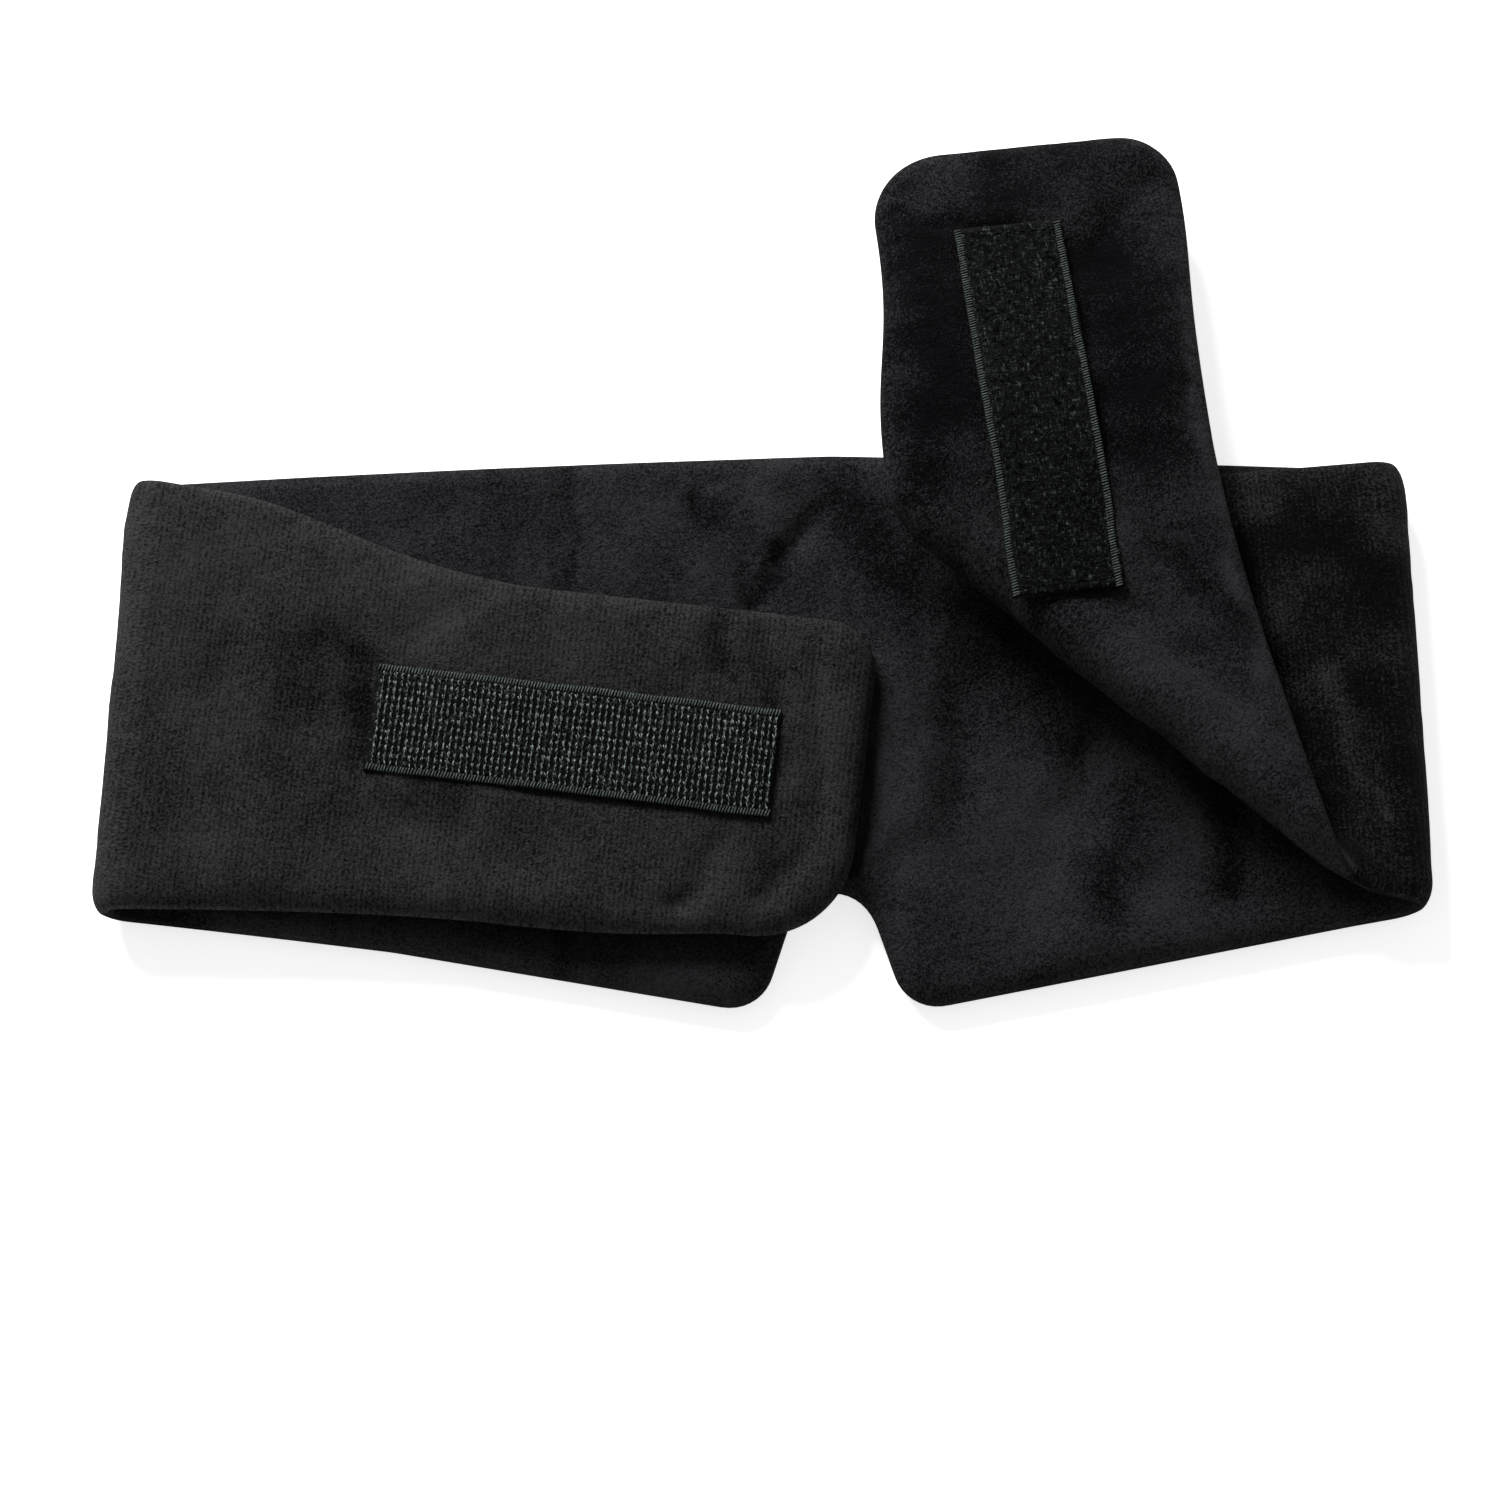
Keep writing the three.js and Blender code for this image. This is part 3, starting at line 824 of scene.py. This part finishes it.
def plush(name, dark, light, rib):
    """Short black velvet plush. Brushed patches, fine pile, on the shell a knitted rib, and painted shade
    in creases and painted highlight on ridges from a per-vertex attribute.

    Noise scales are per metre: patches of 30 mm, streaks of 7 mm and pile of half a millimetre.
    """
    n = Nodes(name)
    flat = n.add("ShaderNodeAttribute", attribute_name="flat").outputs["Vector"]
    patches = n.noise(n.stretched(flat, (1, 0.7, 1)), 34, 3.0, 0.55)
    streaks = n.noise(n.stretched(flat, (1, 0.45, 1)), 150, 3.0, 0.6)
    pile = n.noise(flat, 2000, 2.0, 0.75)
    tone = n.math("ADD", n.math("MULTIPLY", patches, 0.22), n.math("MULTIPLY", streaks, 0.20))
    tone = n.math("ADD", tone, n.math("SUBTRACT", n.math("MULTIPLY", pile, 1.1), 0.24))
    normal = n.bump(pile, 0.0009, 1.0)
    normal = n.bump(n.noise(flat, 420, 3.0, 0.6), 0.0009, 0.7, normal)
    if rib:
        wave = n.add("ShaderNodeTexWave", bands_direction="X", wave_profile="SIN")
        wave.inputs["Scale"].default_value = 2 * math.pi / (20 * RIB_PITCH * MM)
        wave.inputs["Distortion"].default_value = 1.2
        wave.inputs["Detail Scale"].default_value = 0.6
        n.link(flat, wave.inputs["Vector"])
        normal = n.bump(wave.outputs[1], 0.0003, 0.45, normal)
        tone = n.math("ADD", n.math("MULTIPLY", tone, 0.94), n.math("MULTIPLY", wave.outputs[1], 0.06))
    # Painted shade and highlight: a per-vertex tone that darkens creases and the fabric under edges and
    # lightens ridges, mixed with the pile's brushed tone.
    nap_shade_and_highlight = n.add("ShaderNodeAttribute", attribute_name="nap_shade_and_highlight").outputs["Fac"]
    tone = n.math("ADD", tone, n.math("MULTIPLY", nap_shade_and_highlight, 0.17))
    n.link(n.ramp(tone, [(0.33, dark), (0.67, light)]), n.bsdf.inputs["Base Color"])
    n.link(normal, n.bsdf.inputs["Normal"])
    n.bsdf.inputs["Roughness"].default_value = 0.92
    n.bsdf.inputs["Specular IOR Level"].default_value = 0.04
    n.bsdf.inputs["Sheen Weight"].default_value = 0.010
    n.bsdf.inputs["Sheen Roughness"].default_value = 0.42
    n.bsdf.inputs["Sheen Tint"].default_value = (0.80, 0.79, 0.92, 1)
    return n.material


def woven(name, dark, light, roughness):
    """Woven nylon: a fine weave of threads, a little glossy."""
    n = Nodes(name)
    flat = n.add("ShaderNodeAttribute", attribute_name="flat").outputs["Vector"]
    along = n.noise(n.stretched(flat, (1, 0.25, 1)), 2600, 1.0)
    across = n.noise(n.stretched(flat, (0.25, 1, 1)), 2600, 1.0)
    threads = n.math("MULTIPLY", along, across)
    axes = n.add("ShaderNodeSeparateXYZ")
    n.link(flat, axes.inputs[0])
    ribs = n.math("GREATER_THAN", axes.outputs["Z"], RIB_TOPS * MM)
    threads = n.math("ADD", threads, n.math("MULTIPLY", ribs, 0.3))
    n.link(n.ramp(threads, [(0.3, dark), (0.62, light)]), n.bsdf.inputs["Base Color"])
    n.link(n.bump(threads, 0.00018, 0.8), n.bsdf.inputs["Normal"])
    n.bsdf.inputs["Roughness"].default_value = roughness
    n.bsdf.inputs["Specular IOR Level"].default_value = 0.06
    return n.material


def filament(name, dark, light, roughness, specular):
    """Nylon monofilament or thread, with a slight change of tone from strand to strand."""
    n = Nodes(name)
    flat = n.add("ShaderNodeAttribute", attribute_name="flat").outputs["Vector"]
    tone = n.noise(flat, 900, 2.0)
    n.link(n.ramp(tone, [(0.40, dark), (0.62, light)]), n.bsdf.inputs["Base Color"])
    n.bsdf.inputs["Roughness"].default_value = roughness
    n.bsdf.inputs["Specular IOR Level"].default_value = specular
    return n.material


def floor_material():
    n = Nodes("pale_floor")
    geometry = n.add("ShaderNodeNewGeometry")
    tone = n.noise(geometry.outputs["Position"], 3, 1.0)
    n.link(n.ramp(tone, [(0.0, (0.93,) * 3), (1.0, (0.95,) * 3)]), n.bsdf.inputs["Base Color"])
    n.bsdf.inputs["Roughness"].default_value = 0.9
    n.bsdf.inputs["Emission Color"].default_value = (1, 1, 1, 1)
    n.bsdf.inputs["Emission Strength"].default_value = 0.7
    return n.material


LINING = plush("lining_plush", (0.0007, 0.0006, 0.0010), (0.0244, 0.0239, 0.0262), rib=False)
SHELL = plush("shell_plush", (0.0012, 0.0012, 0.0014), (0.0300, 0.0297, 0.0306), rib=True)
TAPE = woven("closure_tape", (0.0006, 0.0008, 0.0008), (0.075, 0.090, 0.086), 0.75)
HOOKS = filament("nylon_hooks", (0.012, 0.015, 0.014), (0.190, 0.225, 0.215), 0.45, 0.2)
PILE = filament("loop_pile", (0.0002, 0.0003, 0.0003), (0.0200, 0.0240, 0.0230), 0.9, 0.02)
THREAD = filament("thread", (0.001, 0.001, 0.0012), (0.005, 0.006, 0.006), 0.7, 0.1)


# ---- tapes -----------------------------------------------------------------------------------------
def on_left_strap(p):
    """Takes the hook tape's own length, width and height above the fabric to the frame."""
    flat = turned(np.column_stack([p[:, 0] - HOOKS_AT[0], p[:, 1] + HOOKS_AT[1]]), LEFT_DROP)
    return left_side(np.column_stack([flat, -HALF - p[:, 2]]))


def on_right_tab(p):
    """The same for the loop tape."""
    flat = np.column_stack([p[:, :2] + LOOPS_AT, HALF + LOOP_TAPE_LIFT + p[:, 2]])
    return world(RIGHT.apply(TAB.turned_over(droop(flat))))


def tubes(paths, side, radius, sides):
    """Many equal tubes. Paths is (tubes, steps, 3), and side is a direction square to each path."""
    count, steps, _ = paths.shape
    tangent = np.gradient(paths, axis=1)
    tangent /= np.maximum(np.linalg.norm(tangent, axis=2), 1e-9)[..., None]
    first = np.broadcast_to(side[:, None], paths.shape)
    second = np.cross(tangent, first)
    second /= np.maximum(np.linalg.norm(second, axis=2), 1e-9)[..., None]
    angles = np.linspace(0, 2 * math.pi, sides, endpoint=False)
    ring = [first * math.cos(a) + second * math.sin(a) for a in angles]
    points = paths[:, :, None] + radius * np.stack(ring, 2)
    index = np.arange(count * steps * sides).reshape(count, steps, sides)
    a, b = index[:, :-1], index[:, 1:]
    c, d = np.roll(b, -1, 2), np.roll(a, -1, 2)
    faces = np.stack([a, b, c, d], 3).reshape(-1, 4).tolist()
    faces += index[:, 0].tolist() + index[:, -1, ::-1].tolist()
    return points.reshape(-1, 3), faces


def joined(parts):
    """Several point and face lists as one."""
    points, faces, start = [], [], 0
    for p, f in parts:
        points.append(p)
        faces += [[k + start for k in face] for face in f]
        start += len(p)
    return np.vstack(points), faces


def selvedge_wander(u, side, seed):
    """How far a tape's long edge strays outwards, along the tape."""
    return SELVEDGE_WANDER * soft_noise(u, side * 40, SELVEDGE_WAVE, seed)


def tape_web(seed):
    """The tape's woven base: a thin slab with slightly wavy long edges and an uneven top."""
    u = np.linspace(-TAPE_LENGTH / 2, TAPE_LENGTH / 2, 93)
    v = np.linspace(-TAPE_WIDTH / 2, TAPE_WIDTH / 2, 27)
    uu, vv = np.meshgrid(u, v, indexing="ij")
    wander = selvedge_wander(uu, np.sign(vv), seed)
    vv = vv + wander * np.abs(vv) / (TAPE_WIDTH / 2)
    lift = 0.10 * soft_noise(uu, vv, 12, seed + 1)
    top = np.stack([uu, vv, TAPE_THICK + lift], 2)
    bottom = np.stack([uu, vv, np.full_like(uu, -TAPE_SINK)], 2)
    n, m = uu.shape
    t = np.arange(n * m).reshape(n, m)
    b = t + n * m
    faces = np.stack([t[:-1, :-1], t[1:, :-1], t[1:, 1:], t[:-1, 1:]], 2).reshape(-1, 4).tolist()
    faces += np.stack([b[:-1, :-1], b[:-1, 1:], b[1:, 1:], b[1:, :-1]], 2).reshape(-1, 4).tolist()
    rim = [*t[:, 0], *t[-1, 1:], *t[-2::-1, -1], *t[0, -2:0:-1]]
    for k, at in enumerate(rim):
        after = rim[(k + 1) % len(rim)]
        faces.append([int(at), int(at + n * m), int(after + n * m), int(after)])
    return np.vstack([top.reshape(-1, 3), bottom.reshape(-1, 3)]), faces


def selvedge_ribs(seed, pitch):
    """The tight cross ribs along both long edges of a tape."""
    rng = np.random.default_rng(seed)
    count = int(TAPE_LENGTH / pitch)
    u = (np.arange(count) + 0.5) * pitch - TAPE_LENGTH / 2
    paths = []
    for sign in (-1, 1):
        edge = TAPE_WIDTH / 2 + selvedge_wander(u, np.full_like(u, sign), seed)
        slant = 0.35 * sign + rng.normal(0, 0.06, count)
        for k in range(count):
            t = np.linspace(0, 1, 4)
            v = sign * (edge[k] - RIB_LENGTH * t)
            w = TAPE_THICK + 0.02 + 0.10 * np.sin(math.pi * np.clip(t + 0.12, 0, 1))
            paths.append(np.column_stack([u[k] + slant[k] * t, v, w]))
    paths = np.array(paths)
    side = np.tile([1.0, 0.0, 0.0], (len(paths), 1))
    return tubes(paths, side, RIB_RADIUS, 6)


def stitch_line(seed):
    """Lockstitches round the tape, each one a short arch of thread sunk at both ends."""
    rng = np.random.default_rng(seed)
    x, y = TAPE_LENGTH / 2 - STITCH_INSET, TAPE_WIDTH / 2 - STITCH_INSET
    corners = np.array([(-x, -y), (x, -y), (x, y), (-x, y)])
    t = np.linspace(-0.5, 0.5, 7)
    paths, sides = [], []
    for a, b in zip(corners, np.roll(corners, -1, 0)):
        length = np.linalg.norm(b - a)
        d = (b - a) / length
        for k in range(int(length / STITCH_PITCH)):
            centre = a + d * (k + 0.5) * STITCH_PITCH + rng.normal(0, 0.06, 2)
            flat = centre + np.outer(t * STITCH_LENGTH, d)
            w = TAPE_THICK + 0.16 - 0.9 * (2 * np.abs(t)) ** 5
            paths.append(np.column_stack([flat, w]))
            sides.append([d[1], -d[0], 0])
    return tubes(np.array(paths), np.array(sides), STITCH_RADIUS, 6)


def hook_rows(columns, half_v, rng):
    """Cut monofilament hooks: a straight stem, then nearly a half turn, facing up and down in turn."""
    t = np.linspace(0, 1, 9)
    stem = 0.45  # the stem's share of the filament
    bend = np.clip((t - stem) / (1 - stem), 0, 1) * math.pi * 0.92
    rise = HOOK_STEM * np.clip(t / stem, 0, 1)
    reach = HOOK_BEND * (1 - np.cos(bend))
    top = HOOK_BEND * np.sin(bend)
    paths, sides = [], []
    for u0 in columns:
        for k, v0 in enumerate(np.arange(-half_v, half_v, HOOK_PITCH)):
            facing = 1 if k % 2 else -1
            angle = facing * math.pi / 2 + rng.normal(0.0, 0.3)
            x = u0 + 0.13 * facing + rng.normal(0, 0.07) + reach * math.cos(angle)
            y = v0 + rng.normal(0, 0.10) + reach * math.sin(angle)
            paths.append(np.column_stack([x, y, TAPE_THICK - 0.1 + rise + top]))
            sides.append([-math.sin(angle), math.cos(angle), 0])
    return tubes(np.array(paths), np.array(sides), HOOK_RADIUS, 5)


def ground_threads(columns, half_v, rng):
    """The wavy threads that the hooks stand in."""
    paths = []
    v = np.linspace(-half_v - 0.4, half_v + 0.4, 61)
    for u0 in columns:
        phase = rng.uniform(0, 2 * math.pi)
        wave = 0.12 * np.sin(v * 2 * math.pi / GROUND_PITCH + phase) + 0.08 * np.sin(v * 0.9 + phase)
        lift = TAPE_THICK + 0.10 + 0.07 * np.cos(v * 2 * math.pi / GROUND_PITCH + phase)
        paths.append(np.column_stack([u0 + wave, v, lift]))
    side = np.tile([0.0, 0.0, 1.0], (len(paths), 1))
    return tubes(np.array(paths), side, GROUND_RADIUS, 5)


def hook_forest():
    """The field of hooks between the tape's selvedges."""
    rng = np.random.default_rng(5)
    half_u, half_v = TAPE_LENGTH / 2 - 0.9, TAPE_WIDTH / 2 - 2.1
    columns = np.arange(-half_u, half_u, HOOK_COLUMNS)
    return joined([hook_rows(columns, half_v, rng), ground_threads(columns, half_v, rng)])


def loop_pile():
    """A dense tangle of small random loops between the tape's selvedges."""
    rng = np.random.default_rng(9)
    count = LOOP_COUNT
    half_u, half_v = TAPE_LENGTH / 2 - 0.6, TAPE_WIDTH / 2 - 1.9
    centre = np.column_stack([rng.uniform(-half_u, half_u, count), rng.uniform(-half_v, half_v, count)])
    spin = rng.uniform(0, 2 * math.pi, count)
    tilt = rng.uniform(-0.9, 0.9, count)
    radius = rng.uniform(0.2, 0.42, count)
    base = TAPE_THICK + rng.uniform(-0.2, 0.75, count)
    flat = np.column_stack([np.cos(spin), np.sin(spin), np.zeros(count)])
    across = np.column_stack([-np.sin(spin), np.cos(spin), np.zeros(count)])
    rise = across * np.sin(tilt)[:, None] + np.array([0, 0, 1.0]) * np.cos(tilt)[:, None]
    side = np.cross(flat, rise)
    t = np.linspace(-0.25 * math.pi, 1.2 * math.pi, 6)
    stretch = rng.uniform(0.7, 1.5, count)[:, None, None]
    path = radius[:, None, None] * (
        np.cos(t)[None, :, None] * flat[:, None] * stretch + np.sin(t)[None, :, None] * rise[:, None]
    )
    path = path + np.column_stack([centre, base])[:, None]
    return tubes(path, side, LOOP_RADIUS, 3)


def add_tape_pieces(body, place, mirrored, rows):
    """Makes a tape's pieces. Each row: name, points and faces, material, CAD node, material slot, which is
    not used.
    """
    for name, (points, faces), material, node, slot in rows:
        if mirrored:
            faces = [face[::-1] for face in faces]
        obj = make_object(name, place(points), faces, material)
        set_flat_coordinates(obj, points)
        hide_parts(node)
        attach(obj, body)


def build_hook_tape():
    web = joined([tape_web(101), selvedge_ribs(101, pitch=0.68)])
    rows = [
        ("hook_tape_web", web, TAPE, "hook_tape", "closure_tape"),
        ("hooks", hook_forest(), HOOKS, "hook_field", "nylon_hooks"),
        ("hook_tape_thread", stitch_line(21), THREAD, "hook_tape_stitching", "thread"),
    ]
    add_tape_pieces("left_strap", on_left_strap, True, rows)


def build_loop_tape():
    web = joined([tape_web(202), selvedge_ribs(202, pitch=0.65)])
    rows = [
        ("loop_tape_web", web, TAPE, "loop_tape", "closure_tape"),
        ("loops", loop_pile(), PILE, "loop_pile", "loop_pile"),
        ("loop_tape_thread", stitch_line(22), THREAD, "loop_tape_stitching", "thread"),
    ]
    add_tape_pieces("right_tab", on_right_tab, False, rows)


# ---- putting it together ---------------------------------------------------------------------------
def hinge_blend(fold, base, at_inner):
    """Start and end points of the turn at a fold's inner or outer hinge line, in metres.

    Base places the fabric before that fold. From it come the hinge line's place, and the directions
    outwards and up, each one millimetre long.
    """
    here = np.array([[*fold.point, 0.0]])
    outward = np.array([[*(fold.point + fold.outward), 0.0]])
    above = np.array([[*fold.point, float(fold.onto)]])
    a = base(here)[0]
    out, up = base(outward)[0] - a, base(above)[0] - a
    centre = a if at_inner else a + SPINE * up
    d = (out + up if at_inner else up - out) / math.sqrt(2) * BLEND_REACH
    return centre - d, centre + d


def right_strap_base(p):
    return world(RIGHT.apply(p))


def nodes_of(prefix):
    """The CAD nodes of one stretch of the band."""
    return [f"{prefix}_{layer}" for layer in ("shell", "lining", "wadding")]


# piece: the two bodies either side of it, the fold it crosses, how the fabric lies before that fold, and
# whether the piece turns at the fold's inner hinge line
BLENDS = {
    "mask_left": ("mask", "left_spine", LEFT, world, True),
    "left_strap": ("left_spine", "left_strap", LEFT, world, False),
    "mask_right": ("mask", "right_spine", RIGHT, world, True),
    "right_strap": ("right_spine", "right_strap", RIGHT, world, False),
    "right_turn": ("right_strap", "tab_spine", TAB, right_strap_base, True),
    "right_tab": ("tab_spine", "right_tab", TAB, right_strap_base, False),
}
REPLACED = {
    "mask_left": ["face_lining_left", "lining_seam_thread"],
    "mask_right": ["outer_shell", "mask_wadding", "face_lining_centre"],
    "left_strap": nodes_of("left_strap") + nodes_of("left_fold"),
    "right_strap": nodes_of("right_strap") + nodes_of("right_fold"),
    "right_turn": nodes_of("tab_fold"),
    "right_tab": nodes_of("right_tab"),
}


def build_skins():
    grids = {name: patch_grids(name) for name in PATCHES}
    shared_normals(grids)
    for name, g in grids.items():
        obj = build_skin(name + "_skin", g)
        a, b, fold, base, inner = BLENDS[name]
        start, end = hinge_blend(fold, base, inner)
        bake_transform(obj)
        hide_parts(*REPLACED[name])


# ---- floor, light and camera -----------------------------------------------------------------------
def build_stage():
    mesh = bpy.data.meshes.new("floor")
    h = FLOOR_HALF
    corners = [(-h, -h, 0), (h, -h, 0), (h, h, 0), (-h, h, 0)]
    mesh.from_pydata(corners, [], [(0, 1, 2, 3)])
    mesh.materials.append(floor_material())
    floor = bpy.data.objects.new("floor", mesh)
    bpy.context.scene.collection.objects.link(floor)


def build_light():
    """A white studio, with one soft lamp behind the mask and to its left."""
    world_light = bpy.data.worlds.new("studio")
    world_light.use_nodes = True
    background = world_light.node_tree.nodes["Background"]
    background.inputs["Color"].default_value = (1, 1, 1, 1)
    background.inputs["Strength"].default_value = 0.3
    bpy.context.scene.world = world_light
    lamp = bpy.data.lights.new("key", "AREA")
    lamp.shape = "DISK"
    lamp.size = LAMP_SIZE
    lamp.energy = LAMP_POWER
    key = bpy.data.objects.new("key", lamp)
    key.location = LAMP_AT
    key.rotation_euler = (-Vector(LAMP_AT)).to_track_quat("-Z", "Y").to_euler()
    bpy.context.scene.collection.objects.link(key)
    bpy.context.scene.view_settings.view_transform = "Standard"


def build_camera():
    """Looks down on the mask from its nose side."""
    data = bpy.data.cameras.new("camera")
    data.sensor_width = SENSOR
    data.lens = LENS
    camera = bpy.data.objects.new("camera", data)
    away = Vector((0, -math.cos(VIEW_PITCH), math.sin(VIEW_PITCH)))
    camera.location = Vector(VIEW_TARGET) + VIEW_DISTANCE * away
    camera.rotation_euler = (math.pi / 2 - VIEW_PITCH, 0, 0)
    bpy.context.scene.collection.objects.link(camera)
    bpy.context.scene.camera = camera


build_camera()
build_stage()
build_light()
build_skins()
build_hook_tape()
build_loop_tape()
